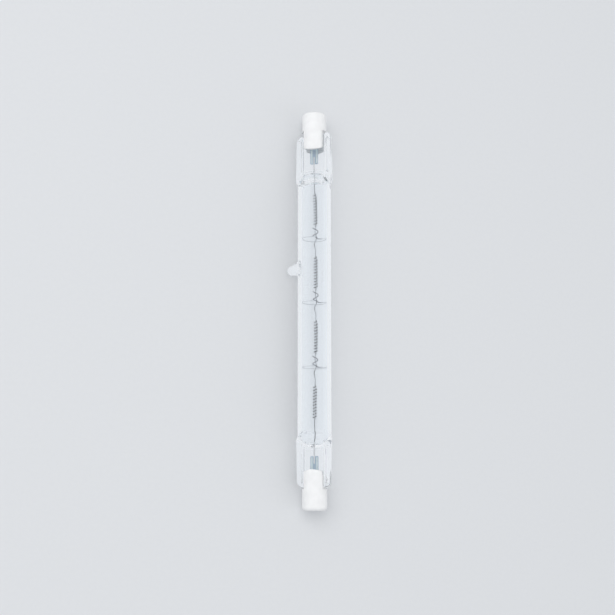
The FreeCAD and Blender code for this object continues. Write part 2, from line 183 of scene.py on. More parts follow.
# Camera and studio
CAMERA_DISTANCE = 370
CAMERA_TURN = math.radians(20)
CAMERA_TILT = 0.168
CAMERA_ROLL = math.radians(-0.05)
FOCAL_LENGTH = 73.95
SENSOR = 36
SHIFT_X = -0.0113


def rest_angle():
    """How far the lamp turns about its axis until its exhaust tip touches the floor."""
    tip_centre = TUBE_RADIUS + TIP_HEIGHT - TIP_ROUND
    return math.asin((TUBE_RADIUS - TIP_ROUND) / tip_centre)


TO_ROW = Matrix.Translation(AXIS) @ Matrix.Rotation(-rest_angle(), 4, "Y") @ Matrix.Scale(MM, 4)


def smoothstep(low, high, value):
    """0 below low, 1 above high, and a soft step between them."""
    share = np.clip((np.asarray(value, float) - low) / (high - low), 0, 1)
    return share * share * (3 - 2 * share)


def grid_faces(rows, columns, start=0, inward=False):
    """Faces of a closed band of rings, each with the same number of points."""
    faces = []
    for i in range(rows - 1):
        for j in range(columns):
            k = (j + 1) % columns
            quad = (start + i * columns + j, start + i * columns + k,
                    start + (i + 1) * columns + k, start + (i + 1) * columns + j)
            faces.append(quad[::-1] if inward else quad)
    return faces


def stitched_faces(start, columns, flip):
    """Closes a ring that is symmetrical about X, by joining its upper points to its lower ones."""
    faces = []
    half = columns // 2
    for j in range(half):
        upper, upper_next = start + j, start + j + 1
        lower, lower_next = start + (columns - j) % columns, start + columns - j - 1
        corners = []
        for point in (upper, upper_next, lower_next, lower):
            if point not in corners:
                corners.append(point)
        if len(corners) > 2:
            faces.append(tuple(corners[::-1] if flip else corners))
    return faces


def add_piece(name, points, faces, material, node):
    """A mesh piece from points on the lamp's own axes, which rides on the lamp."""
    mesh = bpy.data.meshes.new(name)
    mesh.from_pydata([TO_ROW @ Vector(p) for p in points], [], faces)
    mesh.validate()
    piece = bpy.data.objects.new(name, mesh)
    bpy.context.scene.collection.objects.link(piece)
    mesh.materials.append(material)
    mesh.polygons.foreach_set("use_smooth", [True] * len(mesh.polygons))
    mesh.update()
    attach(piece, "root")
    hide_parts(node)
    return piece


def wire_mesh(path, radius, sides):
    """Points and faces of a round wire with closed ends, along a path of points."""
    path = np.asarray(path, float)
    tangents = np.gradient(path, axis=0)
    tangents /= np.linalg.norm(tangents, axis=1)[:, None]
    normal = np.cross(tangents[0], (0.3, 0.2, 1.0))
    normals = []
    for tangent in tangents:
        normal = normal - tangent * normal.dot(tangent)
        normal = normal / np.linalg.norm(normal)
        normals.append(normal)
    normals = np.array(normals)
    sideways = np.cross(tangents, normals)
    turns = np.arange(sides) * AROUND / sides
    rings = (path[:, None, :]
             + radius * np.cos(turns)[None, :, None] * normals[:, None, :]
             + radius * np.sin(turns)[None, :, None] * sideways[:, None, :])
    points = rings.reshape(-1, 3).tolist()
    faces = grid_faces(len(path), sides)
    last = (len(path) - 1) * sides
    faces.append(tuple(range(sides))[::-1])
    faces.append(tuple(last + j for j in range(sides)))
    return points, faces


# Materials

def new_material(name):
    """A material with its node tree and its shader."""
    material = bpy.data.materials.new(name)
    material.use_nodes = True
    tree = material.node_tree
    return material, tree, tree.nodes["Principled BSDF"]


def fill_inputs(tree, node, values):
    """Gives a node's first inputs their values, each a number, a vector or another node's output."""
    for socket, value in zip(node.inputs, values):
        if isinstance(value, bpy.types.NodeSocket):
            tree.links.new(value, socket)
        else:
            socket.default_value = value


def math_node(tree, operation, *values):
    """The result of a sum with one or two numbers."""
    node = tree.nodes.new("ShaderNodeMath")
    node.operation = operation
    fill_inputs(tree, node, values)
    return node.outputs[0]


def vector_node(tree, operation, *values):
    """The result of a sum with one or two vectors."""
    node = tree.nodes.new("ShaderNodeVectorMath")
    node.operation = operation
    fill_inputs(tree, node, values)
    return node.outputs["Value" if operation in ("DOT_PRODUCT", "LENGTH") else "Vector"]


def share_node(tree, value, start, end):
    """How far a value has come from start to end, from 0 to 1."""
    share = tree.nodes.new("ShaderNodeMapRange")
    share.inputs["From Min"].default_value = start
    share.inputs["From Max"].default_value = end
    tree.links.new(value, share.inputs["Value"])
    return share.outputs["Result"]


def mixed_colour(tree, factor, low, high):
    """A colour between two others, where high comes from another node."""
    mix = tree.nodes.new("ShaderNodeMix")
    mix.data_type = "RGBA"
    tree.links.new(factor, mix.inputs["Factor"])
    if isinstance(low, bpy.types.NodeSocket):
        tree.links.new(low, mix.inputs["A"])
    else:
        mix.inputs["A"].default_value = low
    tree.links.new(high, mix.inputs["B"])
    return mix.outputs["Result"]


def mixed_surface(tree, factor, first, second):
    """Makes the material's surface a mix of two shaders."""
    mix = tree.nodes.new("ShaderNodeMixShader")
    tree.links.new(factor, mix.inputs["Fac"])
    tree.links.new(first.outputs[0], mix.inputs[1])
    tree.links.new(second.outputs[0], mix.inputs[2])
    tree.links.new(mix.outputs["Shader"], tree.nodes["Material Output"].inputs["Surface"])


def mirrored_or_refracted(tree):
    """1 for rays that come by way of a mirroring or a refraction, and 0 for the others."""
    path = tree.nodes.new("ShaderNodeLightPath")
    return math_node(tree, "MAXIMUM", path.outputs["Is Glossy Ray"], path.outputs["Is Transmission Ray"])


def noise_node(tree, scale, detail=4.0, roughness=0.55, stretch=(1, 1, 1)):
    """A noise texture on object coordinates in metres, stretched along an axis if wanted."""
    coordinates = tree.nodes.new("ShaderNodeTexCoord")
    mapping = tree.nodes.new("ShaderNodeMapping")
    mapping.inputs["Scale"].default_value = stretch
    texture = tree.nodes.new("ShaderNodeTexNoise")
    texture.inputs["Scale"].default_value = scale
    texture.inputs["Detail"].default_value = detail
    texture.inputs["Roughness"].default_value = roughness
    tree.links.new(coordinates.outputs["Object"], mapping.inputs["Vector"])
    tree.links.new(mapping.outputs["Vector"], texture.inputs["Vector"])
    return texture


def ramp_node(tree, source, low, high, start=0.3, end=0.7):
    """A colour that runs from low to high with a texture's value."""
    ramp = tree.nodes.new("ShaderNodeValToRGB")
    ramp.color_ramp.elements[0].position = start
    ramp.color_ramp.elements[0].color = (*low, 1)
    ramp.color_ramp.elements[1].position = end
    ramp.color_ramp.elements[1].color = (*high, 1)
    tree.links.new(source, ramp.inputs["Fac"])
    return ramp


def bump_node(tree, source, strength, distance, before=None):
    """A bump from a texture's value, with its height in metres."""
    bump = tree.nodes.new("ShaderNodeBump")
    bump.inputs["Strength"].default_value = strength
    bump.inputs["Distance"].default_value = distance
    tree.links.new(source, bump.inputs["Height"])
    if before is not None:
        tree.links.new(before.outputs["Normal"], bump.inputs["Normal"])
    return bump


def vary_roughness(tree, shader, source, low, high):
    """Roughness that wanders between two values with a texture."""
    spread = tree.nodes.new("ShaderNodeMapRange")
    spread.inputs["To Min"].default_value = low
    spread.inputs["To Max"].default_value = high
    tree.links.new(source, spread.inputs["Value"])
    tree.links.new(spread.outputs["Result"], shader.inputs["Roughness"])


def quartz_material():
    """Clear quartz with faint ripples, which lets shadow rays and often mirrored rays straight through."""
    material, tree, shader = new_material("quartz")
    shader.inputs["Base Color"].default_value = (0.952, 0.970, 0.984, 1)
    shader.inputs["Roughness"].default_value = 0.0
    shader.inputs["IOR"].default_value = 1.458
    shader.inputs["Transmission Weight"].default_value = 1.0
    ripples = noise_node(tree, 260, 2.0, 0.5, (1, 0.35, 1))
    bump = bump_node(tree, ripples.outputs["Fac"], 0.35, 0.00002)
    tree.links.new(bump.outputs["Normal"], shader.inputs["Normal"])
    clear = tree.nodes.new("ShaderNodeBsdfTransparent")
    clear.inputs["Color"].default_value = (0.985, 0.988, 0.992, 1)
    path = tree.nodes.new("ShaderNodeLightPath")
    caught = math_node(tree, "GREATER_THAN", path.outputs["Glossy Depth"], MOST_MIRRORINGS)
    passing = math_node(tree, "MAXIMUM", path.outputs["Is Shadow Ray"], caught)
    mixed_surface(tree, passing, shader, clear)
    return material


def metal_material(name, dark, light, roughness, grain, stretch, metallic=1.0):
    """A metal with fine lines, which run along it where stretch is small on Y."""
    material, tree, shader = new_material(name)
    shader.inputs["Metallic"].default_value = metallic
    lines = noise_node(tree, grain, 5.0, 0.6, stretch)
    colour = ramp_node(tree, lines.outputs["Fac"], dark, light)
    tree.links.new(colour.outputs["Color"], shader.inputs["Base Color"])
    vary_roughness(tree, shader, lines.outputs["Fac"], roughness * 0.75, roughness * 1.25)
    bump = bump_node(tree, lines.outputs["Fac"], 0.3, 0.00001)
    tree.links.new(bump.outputs["Normal"], shader.inputs["Normal"])
    return material


def from_coil_axis(tree, place):
    """The vector to a place from the coils' axis, square to that axis and in metres."""
    offset = vector_node(tree, "SUBTRACT", place, TO_ROW @ Vector((COIL_AXIS_X, 0, 0)))
    return vector_node(tree, "MULTIPLY", offset, (1, 0, 1))


def support_material():
    """Tungsten support wire, pale at its ring and dark near the filament."""
    material, tree, shader = new_material("support_tungsten")
    shader.inputs["Metallic"].default_value = 0.4
    lines = noise_node(tree, 6000, 5.0, 0.6, (1, 0.2, 1))
    vary_roughness(tree, shader, lines.outputs["Fac"], 0.3, 0.5)
    coordinates = tree.nodes.new("ShaderNodeTexCoord")
    distance = vector_node(tree, "LENGTH", from_coil_axis(tree, coordinates.outputs["Object"]))
    paleness = share_node(tree, distance, SUPPORT_DARK_REACH * MM, SUPPORT_PALE_REACH * MM)
    bright = ramp_node(tree, lines.outputs["Fac"], (0.80, 0.82, 0.85), (0.92, 0.935, 0.95))
    dark_grip = ramp_node(tree, lines.outputs["Fac"], (0.20, 0.21, 0.24), (0.32, 0.335, 0.37))
    # The wire's colour is dark where it grips the filament and pale out at its ring.
    colour = mixed_colour(tree, paleness, dark_grip.outputs["Color"], bright.outputs["Color"])
    tree.links.new(colour, shader.inputs["Base Color"])
    bump = bump_node(tree, lines.outputs["Fac"], 0.3, 0.00001)
    tree.links.new(bump.outputs["Normal"], shader.inputs["Normal"])
    return material


def foil_material():
    """Thin rolled foil, with painted shade along its edges, at its inner end and beside the welded leads.
    """
    material, tree, shader = new_material("foil")
    shader.inputs["Metallic"].default_value = 0.15
    lines = noise_node(tree, 1500, 5.0, 0.6, (1, 0.15, 1))
    vary_roughness(tree, shader, lines.outputs["Fac"], 0.375, 0.625)
    rolled = ramp_node(tree, lines.outputs["Fac"], (0.80, 0.95, 1.0), (0.93, 1.0, 1.0))
    coordinates = tree.nodes.new("ShaderNodeTexCoord")
    offset = vector_node(tree, "SUBTRACT", coordinates.outputs["Object"], AXIS)
    clear = 1.0
    for direction, shaded_at, unshaded_at in FOIL_PAINTED_SHADE_BANDS:
        axis = (TO_ROW.to_3x3() @ Vector(direction)).normalized()
        distance = math_node(tree, "ABSOLUTE", vector_node(tree, "DOT_PRODUCT", offset, axis))
        clear = math_node(tree, "MINIMUM", clear, share_node(tree, distance, shaded_at * MM, unshaded_at * MM))
    # Painted shade: the foil's colour darkens beside the lead, along its edges and at its inner end.
    colour = mixed_colour(tree, clear, FOIL_PAINTED_SHADE_COLOUR, rolled.outputs["Color"])
    tree.links.new(colour, shader.inputs["Base Color"])
    bump = bump_node(tree, lines.outputs["Fac"], 0.3, 0.00001)
    tree.links.new(bump.outputs["Normal"], shader.inputs["Normal"])
    return material


def tungsten_material():
    """Fine tungsten winding, pale on the outside of the coils, with painted shade towards their inside."""
    material, tree, shader = new_material("tungsten")
    shader.inputs["Metallic"].default_value = 0.35
    grain = noise_node(tree, 9000, 5.0, 0.6)
    vary_roughness(tree, shader, grain.outputs["Fac"], 0.32, 0.5)
    coordinates = tree.nodes.new("ShaderNodeTexCoord")
    outward = vector_node(tree, "NORMALIZE", from_coil_axis(tree, coordinates.outputs["Object"]))
    facing = vector_node(tree, "DOT_PRODUCT", outward, coordinates.outputs["Normal"])
    # Painted shade: the winding turns dark where its surface faces the coils' axis, and stays pale where
    # it faces outward.
    colour = ramp_node(tree, facing, (0.03, 0.032, 0.036), (0.72, 0.745, 0.775), 0.0, 0.25)
    tree.links.new(colour.outputs["Color"], shader.inputs["Base Color"])
    return material


def mineral_material(name, low, high, roughness, coarse, fine, depth):
    """A matt white mineral with a soft mottling and a fine grain."""
    material, tree, shader = new_material(name)
    patches = noise_node(tree, coarse, 3.0, 0.5)
    grain = noise_node(tree, fine, 6.0, 0.65)
    colour = ramp_node(tree, patches.outputs["Fac"], low, high)
    tree.links.new(colour.outputs["Color"], shader.inputs["Base Color"])
    vary_roughness(tree, shader, grain.outputs["Fac"], roughness - 0.08, roughness + 0.08)
    shader.inputs["Specular IOR Level"].default_value = 0.4
    broad = bump_node(tree, patches.outputs["Fac"], 0.25, depth * 2)
    bump = bump_node(tree, grain.outputs["Fac"], 0.5, depth, broad)
    tree.links.new(bump.outputs["Normal"], shader.inputs["Normal"])
    return material


# Quartz envelope

def oblong(half_width, half_height, corner):
    """A quarter of a rounded oblong, from its side to its top, as evenly spaced points."""
    steps = ENVELOPE_QUARTER
    side = half_height - corner
    bend = corner * math.pi / 2
    top = half_width - corner
    run = np.linspace(0, side + bend + top, steps + 1)
    turn = np.clip((run - side) / corner, 0, math.pi / 2)
    x = np.where(run < side, half_width, top + corner * np.cos(turn))
    z = np.where(run < side, run, side + corner * np.sin(turn))
    beyond = run > side + bend
    x = np.where(beyond, top - (run - side - bend), x)
    z = np.where(beyond, half_height, z)
    return x, z


def four_quarters(x, z):
    """A whole ring of points from its first quarter, from +X over +Z."""
    x_ring = np.concatenate([x[:-1], -x[:0:-1], -x[:-1], x[:0:-1]])
    z_ring = np.concatenate([z[:-1], z[:0:-1], -z[:-1], -z[:0:-1]])
    return x_ring, z_ring


def ring_places(stops):
    """Places along Y from (start, end, spacing) stretches, without doubles."""
    places = []
    for start, end, spacing in stops:
        count = max(1, round((end - start) / spacing))
        places += [start + (end - start) * k / count for k in range(count)]
    places.append(stops[-1][1])
    return places


def closed_places(places, end, length, steps):
    """Places along Y with closer and closer ones added over the last length before an end."""
    closing = [end - length * (1 - math.sin(math.pi / 2 * k / steps)) for k in range(steps + 1)]
    return places + [place for place in closing if place > places[-1] + CLOSEST_RINGS]


def outer_ring(side_name, along):
    """One ring of the envelope's outside: where it is on Y before its slant, and its section."""
    turn = np.arange(ENVELOPE_AROUND) * AROUND / ENVELOPE_AROUND
    circle_x = TUBE_RADIUS * np.cos(turn)
    circle_z = TUBE_RADIUS * np.sin(turn)
    if along < min(FLANK_START[side_name]):
        return circle_x, np.full(ENVELOPE_AROUND, along), circle_z
    taper = SEAL_TAPER / 2 * np.clip((along - SHOULDER_Y) / (SEAL_OUTER_Y - SHOULDER_Y), 0, 1)
    half_width = SEAL_WIDTH[side_name] / 2 - taper
    to_end = SEAL_OUTER_Y - along
    corner_left = SEAL_CORNER_ROUND - min(to_end, SEAL_CORNER_ROUND)
    face_left = SEAL_FACE_ROUND - min(to_end, SEAL_FACE_ROUND)
    half_width -= SEAL_CORNER_ROUND - math.sqrt(SEAL_CORNER_ROUND ** 2 - corner_left ** 2)
    shrink = SEAL_FACE_ROUND - math.sqrt(SEAL_FACE_ROUND ** 2 - face_left ** 2)
    x, z = oblong(half_width, RAIL_HALF - shrink, RAIL_ROUND - shrink)
    x_ring, z_ring = four_quarters(x, z)
    half_web = SEAL_WIDTH[side_name] / 2 - RAIL_WIDTH
    on_web = 1 - smoothstep(half_web - WEB_STEP / 2, half_web + WEB_STEP / 2, np.abs(x_ring))
    web_share = (WEB_HALF - shrink) / (RAIL_HALF - shrink)
    z_ring = z_ring * (1 - on_web * (1 - web_share))
    starts = FLANK_START[side_name]
    lengths = FLANK_LENGTH[side_name]
    flank_left = smoothstep(starts[0], starts[0] + lengths[0], along)
    flank_right = smoothstep(starts[1], starts[1] + lengths[1], along)
    rightness = smoothstep(-1, 1, circle_x)
    flank = flank_left * (1 - rightness) + flank_right * rightness
    press = np.clip((along - SHOULDER_Y) / SHOULDER_LENGTH, 0, 1)
    press = 0.6 * press + 0.4 * smoothstep(0, 1, press)
    x_all = circle_x * (1 - flank) + (x_ring + SEAL_SHIFT[side_name]) * flank
    z_all = circle_z * (1 - press) + z_ring * press
    slant = SEAL_SLANT[side_name] * smoothstep(SHOULDER_Y + SHOULDER_LENGTH, SEAL_OUTER_Y, along)
    return x_all, along + slant * x_all / SEAL_WIDTH[side_name], z_all


def tip_profile(height, base, top_round, fillet, disc):
    """Points of (radius, height) down a blown tip to the end of its disc, and their shares of the way."""
    taper = (base - top_round) / (height - top_round)
    points = []
    for k in range(17):
        angle = math.pi / 2 * k / 16
        points.append((top_round * math.sin(angle), height - top_round + top_round * math.cos(angle)))
    foot = base - taper * fillet
    for k in range(13):
        angle = math.pi / 2 * k / 12
        points.append((foot + fillet * (1 - math.cos(angle)), fillet * (1 - math.sin(angle))))
    points.append((disc, 0))
    points = np.array(points)
    lengths = np.concatenate([[0], np.cumsum(np.linalg.norm(np.diff(points, axis=0), axis=1))])
    return points, lengths / lengths[-1]


def with_tip(points, wall_radius, height, base, top_round, fillet, disc, skirt=0.0):
    """Draws a tip out of a wall at TIP_Y, with a foot that is wider by skirt towards cap a."""
    profiles = {}
    for point in points:
        if point[0] > 0:
            continue
        across = wall_radius * math.atan2(point[2], -point[0])
        along = point[1] - TIP_Y
        spread = math.hypot(across, along)
        if spread >= disc:
            continue
        upward = along / spread if spread > 0 else 0.0
        wider = round(skirt * max(0.0, upward) ** 1.5, 2)
        if wider not in profiles:
            profiles[wider] = tip_profile(height, base + wider, top_round, fillet + wider, disc)
        shape, shares = profiles[wider]
        share = spread / disc
        radius = float(np.interp(share, shares, shape[:, 0]))
        rise = float(np.interp(share, shares, shape[:, 1]))
        scale = radius / spread if spread > 0 else 0.0
        sideways = across * scale
        turn = sideways / wall_radius
        flat = float(smoothstep(0, 0.35 * height, rise))
        wall = wall_radius * (flat + math.cos(turn) * (1 - flat))
        point[0] = -wall - rise * math.cos(TIP_LEAN)
        point[1] = TIP_Y + along * scale - rise * math.sin(TIP_LEAN)
        point[2] = sideways * flat + wall_radius * math.sin(turn) * (1 - flat)
    return points


def envelope_outside():
    """The outside of the envelope with both seals and the exhaust tip."""
    half = ring_places([
        (0, 6, 0.9), (6, 16.4, 0.14), (16.4, 36, 1.2), (36, 42, 0.14), (42, 50.4, 0.5),
    ])
    half = closed_places(half, SEAL_OUTER_Y, SEAL_CORNER_ROUND, 14)
    rings = [("b", -place) for place in half[:0:-1]] + [("a", place) for place in half]
    points = []
    for side_name, place in rings:
        x, y, z = outer_ring(side_name, abs(place))
        sign = 1 if place >= 0 else -1
        points += np.stack([x, y * sign, z], axis=1).tolist()
    points = with_tip(points, TUBE_RADIUS, TIP_HEIGHT, TIP_BASE_RADIUS, TIP_ROUND,
                      TIP_FILLET, TIP_DISC, TIP_SKIRT)
    faces = grid_faces(len(rings), ENVELOPE_AROUND, inward=True)
    faces += stitched_faces(0, ENVELOPE_AROUND, False)
    faces += stitched_faces((len(rings) - 1) * ENVELOPE_AROUND, ENVELOPE_AROUND, True)
    return points, faces


def bore_ring(along):
    """One ring of the bore: round in the tube, and flattened to a soft nose at the seals."""
    turn = np.arange(BORE_AROUND) * AROUND / BORE_AROUND
    press = np.clip((along - BORE_SLOPE_START_Y) / (BORE_NOSE_Y - BORE_SLOPE_START_Y), 0, 1)
    narrowing = 0.7 * press + 0.3 * float(smoothstep(0, 1, press))
    half_height = BORE_RADIUS + (BORE_NOSE_HALF - BORE_RADIUS) * narrowing
    to_end = BORE_NOSE_Y - along
    nose = BORE_NOSE_ROUND - min(to_end, BORE_NOSE_ROUND)
    half_width = BORE_RADIUS - (BORE_NOSE_ROUND - math.sqrt(max(BORE_NOSE_ROUND ** 2 - nose ** 2, 0)))
    close = BORE_NOSE_HALF - min(to_end, BORE_NOSE_HALF)
    half_height *= math.sqrt(max(1 - (close / BORE_NOSE_HALF) ** 2, 0.0004))
    return half_width * np.cos(turn), np.full(BORE_AROUND, along), half_height * np.sin(turn)


def envelope_bore(start):
    """The bore's wall with the small hollow of the exhaust tip."""
    half = ring_places([(0, 8.4, 1.2), (8.4, 14.0, 0.14), (14.0, 35, 1.4), (35, 38.6, 0.24)])
    half = closed_places(half, BORE_NOSE_Y, 0.9, 12)
    rings = [-place for place in half[:0:-1]] + half
    points = []
    for place in rings:
        x, y, z = bore_ring(abs(place))
        sign = 1 if place >= 0 else -1
        points += np.stack([x, y * sign, z], axis=1).tolist()
    points = with_tip(points, BORE_RADIUS, HOLLOW_HEIGHT, HOLLOW_RADIUS, HOLLOW_ROUND,
                      HOLLOW_FILLET, HOLLOW_DISC)
    faces = grid_faces(len(rings), BORE_AROUND, start)
    faces += stitched_faces(start, BORE_AROUND, True)
    faces += stitched_faces(start + (len(rings) - 1) * BORE_AROUND, BORE_AROUND, False)
    return points, faces


def ripple_seals(piece, count):
    """Gives the seals, in the envelope's first points, the soft unevenness of pressed glass."""
    mesh = piece.data
    normals = np.array([normal.vector[:] for normal in mesh.vertex_normals])
    back = TO_ROW.inverted()
    for k in range(count):
        vertex = mesh.vertices[k]
        local = back @ vertex.co
        pressed = float(smoothstep(SHOULDER_Y - 1, SHOULDER_Y + SHOULDER_LENGTH, abs(local.y)))
        if pressed > 0:
            amount = noise.noise(local / RIPPLE_SIZE) * RIPPLE * pressed
            vertex.co = vertex.co + Vector(normals[k]) * (amount * MM)
    mesh.update()


def make_envelope(material):
    """The quartz envelope as one closed piece of glass round its bore."""
    outside, outside_faces = envelope_outside()
    bore, bore_faces = envelope_bore(len(outside))
    piece = add_piece("quartz_glass", outside + bore, outside_faces + bore_faces, material,
                      "quartz_envelope")
    ripple_seals(piece, len(outside))
    return piece


# Filament and supports

def coil_centre(index):
    """The middle of one coiled stretch, on Y."""
    spacing = (2 * (TAIL_END_Y - TAIL_LENGTH) - COIL_PITCH * COIL_TURNS) / (COIL_COUNT - 1)
    return COIL_SHIFT + (index - (COIL_COUNT - 1) / 2) * spacing


def filament_line():
    """The filament's middle line, at even steps of its own length."""
    length = COIL_PITCH * COIL_TURNS
    y = np.arange(-TAIL_END_Y, TAIL_END_Y, LINE_STEP)
    reach = np.zeros_like(y)
    turn = np.zeros_like(y)
    for index in range(COIL_COUNT):
        start = coil_centre(index) - length / 2
        end = start + length
        begun = smoothstep(start - RUN_IN[0], start + RUN_IN[1], y)
        ended = smoothstep(end - RUN_IN[1], end + RUN_IN[0], y)
        inside = begun * (1 - ended)
        reach += COIL_RADIUS * inside
        turn = np.where(inside > 0, AROUND * (y - start) / COIL_PITCH, turn)
    knots = [-TAIL_END_Y, -TAIL_END_Y + STRAIGHT_END] + [coil_centre(k) for k in range(COIL_COUNT)]
    knots += [TAIL_END_Y - STRAIGHT_END, TAIL_END_Y]
    middle = np.interp(y, knots, [0, 0, *COIL_OFFSETS, 0, 0])
    for index in range(COIL_COUNT - 1):
        start = coil_centre(index) + length / 2
        share = np.clip((y - start) / (coil_centre(index + 1) - length / 2 - start), 0, 1)
        middle += GAP_WAVE * np.sin(math.pi * share) ** 2 * np.sin(AROUND * GAP_WAVES * share)
    x = middle + reach * np.cos(turn)
    line = np.stack([x, y, reach * np.sin(turn)], axis=1)
    lengths = np.concatenate([[0], np.cumsum(np.linalg.norm(np.diff(line, axis=0), axis=1))])
    even = np.arange(0, lengths[-1], STRAND_PITCH / STRAND_STEPS)
    return np.stack([np.interp(even, lengths, line[:, k]) for k in range(3)], axis=1)


def make_filament(material):
    """The filament, with its fine first winding drawn as wire."""
    line = filament_line()
    tangents = np.gradient(line, axis=0)
    tangents /= np.linalg.norm(tangents, axis=1)[:, None]
    normal = np.array([1.0, 0.0, 0.0])
    winding = []
    radius = (STRAND_DIAMETER - STRAND_WIRE) / 2
    for k, (place, tangent) in enumerate(zip(line, tangents)):
        normal = normal - tangent * normal.dot(tangent)
        normal = normal / np.linalg.norm(normal)
        sideways = np.cross(tangent, normal)
        turn = AROUND * k / STRAND_STEPS
        winding.append(place + radius * (math.cos(turn) * normal + math.sin(turn) * sideways))
    points, faces = wire_mesh(winding, STRAND_WIRE / 2, 4)
    return add_piece("filament_coil", points, faces, material, "filament")


def softened(path, rounds):
    """A path with its corners cut softer a few times."""
    path = np.asarray(path, float)
    for _ in range(rounds):
        early = path[:-1] * 0.75 + path[1:] * 0.25
        late = path[:-1] * 0.25 + path[1:] * 0.75
        inner = np.stack([early, late], axis=1).reshape(-1, 3)
        path = np.concatenate([path[:1], inner, path[-1:]])
    return path


def make_support(index, material):
    """A support wire: a loose grip round the filament, an arm and a wide ring near the bore."""
    middle = (coil_centre(index) + coil_centre(index + 1)) / 2
    ring_y = middle + SUPPORT_RING_PLACE
    offset = (COIL_OFFSETS[index] + COIL_OFFSETS[index + 1]) / 2
    path = []
    steps = 24
    for k in range(steps, -1, -1):
        turn = AROUND * SUPPORT_GRIP_TURNS * k / steps
        y = ring_y + SUPPORT_GRIP_LENGTH * k / steps
        x = offset + SUPPORT_GRIP_RADIUS * math.cos(turn)
        path.append((x, y, SUPPORT_GRIP_RADIUS * math.sin(turn)))
    ring_steps = 36
    for k in range(ring_steps + 1):
        turn = -SUPPORT_RING_ARC * k / ring_steps
        path.append((SUPPORT_RING_RADIUS * math.cos(turn), ring_y, SUPPORT_RING_RADIUS * math.sin(turn)))
    points, faces = wire_mesh(softened(path, 2), SUPPORT_WIRE / 2, 12)
    number = str(index + 1)
    node = "filament_support_" + number
    return add_piece("support_wire_" + number, points, faces, material, node)


# Leads and foils

def make_lead(name, side, start, end, radius, height, material):
    """A straight lead with soft ends, along the lamp at a height above its middle."""
    places = [start, start + 0.02, start + radius * 0.4, start + radius]
    places += list(np.linspace(start + radius * 1.5, end - radius * 1.5, 40))
    places += [end - radius, end - radius * 0.4, end - 0.02, end]
    sides = 20
    points = []
    for place in places:
        near = min(place - start, end - place) / radius
        size = radius * math.sqrt(1 - (1 - min(near, 1)) ** 4) if near < 1 else radius
        size = max(size, radius * 0.55)
        for j in range(sides):
            turn = AROUND * j / sides
            points.append((size * math.cos(turn), side * place, height + size * math.sin(turn)))
    faces = grid_faces(len(places), sides, inward=side > 0)
    last = (len(places) - 1) * sides
    ends = [tuple(range(sides)), tuple(last + j for j in range(sides))[::-1]]
    faces += ends if side > 0 else [face[::-1] for face in ends]
    return add_piece(name + "_wire", points, faces, material, name)


def make_foil(end_name, side, material):
    """The sealing foil: feather edges, a slight crumple and rounded corners."""
    rows = 64
    columns = 24
    top = -INNER_LEAD_RADIUS
    length = FOIL_OUTER_Y - FOIL_INNER_Y
    upper = []
    lower = []
    for i in range(rows + 1):
        along = FOIL_INNER_Y + length * i / rows
        corner = min(along - FOIL_INNER_Y, FOIL_OUTER_Y - along)
        half = FOIL_WIDTH / 2 - 0.25 * max(0.0, 1 - corner / 0.35) ** 2
        for j in range(columns + 1):
            across = math.sin(math.pi / 2 * (2 * j / columns - 1))
            x = half * across
            thickness = FOIL_THICKNESS * (1 - across ** 2) + FOIL_EDGE
            crumple = FOIL_CRUMPLE * noise.noise(Vector((x * 1.4, along * 0.9, 7.0 * side)))
            crumple *= min(1.0, abs(x) / 0.5)
            upper.append((x, side * along, top + crumple))
            lower.append((x, side * along, top + crumple - thickness))
    points = upper + lower
    count = len(upper)
    stride = columns + 1
    faces = []
    for i in range(rows):
        for j in range(columns):
            first = i * stride + j
            quad = (first, first + 1, first + stride + 1, first + stride)
            faces.append(quad)
            faces.append(tuple(count + k for k in quad[::-1]))
    rim = list(range(columns))
    rim += [i * stride + columns for i in range(rows)]
    rim += [rows * stride + columns - j for j in range(columns)]
    rim += [(rows - i) * stride for i in range(rows)]
    for k, corner in enumerate(rim):
        following = rim[(k + 1) % len(rim)]
        faces.append((corner, count + corner, count + following, following))
    if side < 0:
        faces = [face[::-1] for face in faces]
    node = "molybdenum_foil_" + end_name
    return add_piece("sealing_foil_" + end_name, points, faces, material, node)


# Caps, contacts and cement

def lathe(outline, side, steps):
    """Points and faces of a turned form, from an outline of (radius, place on Y)."""
    points = []
    for radius, place in outline:
        for j in range(steps):
            turn = AROUND * j / steps
            points.append((radius * math.cos(turn), side * place, radius * math.sin(turn)))
    faces = grid_faces(len(outline), steps, inward=side < 0)
    last = (len(outline) - 1) * steps
    ends = [tuple(range(steps))[::-1], tuple(last + j for j in range(steps))]
    faces += ends if side > 0 else [face[::-1] for face in ends]
    return points, [tuple(face[::-1]) for face in faces]


def arc(centre_radius, centre_y, radius, start, end, steps):
    """Points of a round edge in a lathe's outline: 0 degrees points away from the axis, 90 to the end."""
    found = []
    for k in range(steps + 1):
        angle = math.radians(start + (end - start) * k / steps)
        found.append((centre_radius + radius * math.cos(angle), centre_y + radius * math.sin(angle)))
    return found


def loose_mesh(name, points, faces):
    """A loose mesh object on the lamp's own axes, for cutting."""
    mesh = bpy.data.meshes.new(name)
    mesh.from_pydata(points, [], faces)
    mesh.validate()
    tool = bpy.data.objects.new(name, mesh)
    bpy.context.scene.collection.objects.link(tool)
    return tool


def box_mesh(name, low, high):
    """A box for cutting."""
    corners = [(x, y, z) for x in (low[0], high[0]) for y in (low[1], high[1]) for z in (low[2], high[2])]
    faces = [(0, 1, 3, 2), (4, 6, 7, 5), (0, 4, 5, 1), (2, 3, 7, 6), (0, 2, 6, 4), (1, 5, 7, 3)]
    return loose_mesh(name, corners, faces)


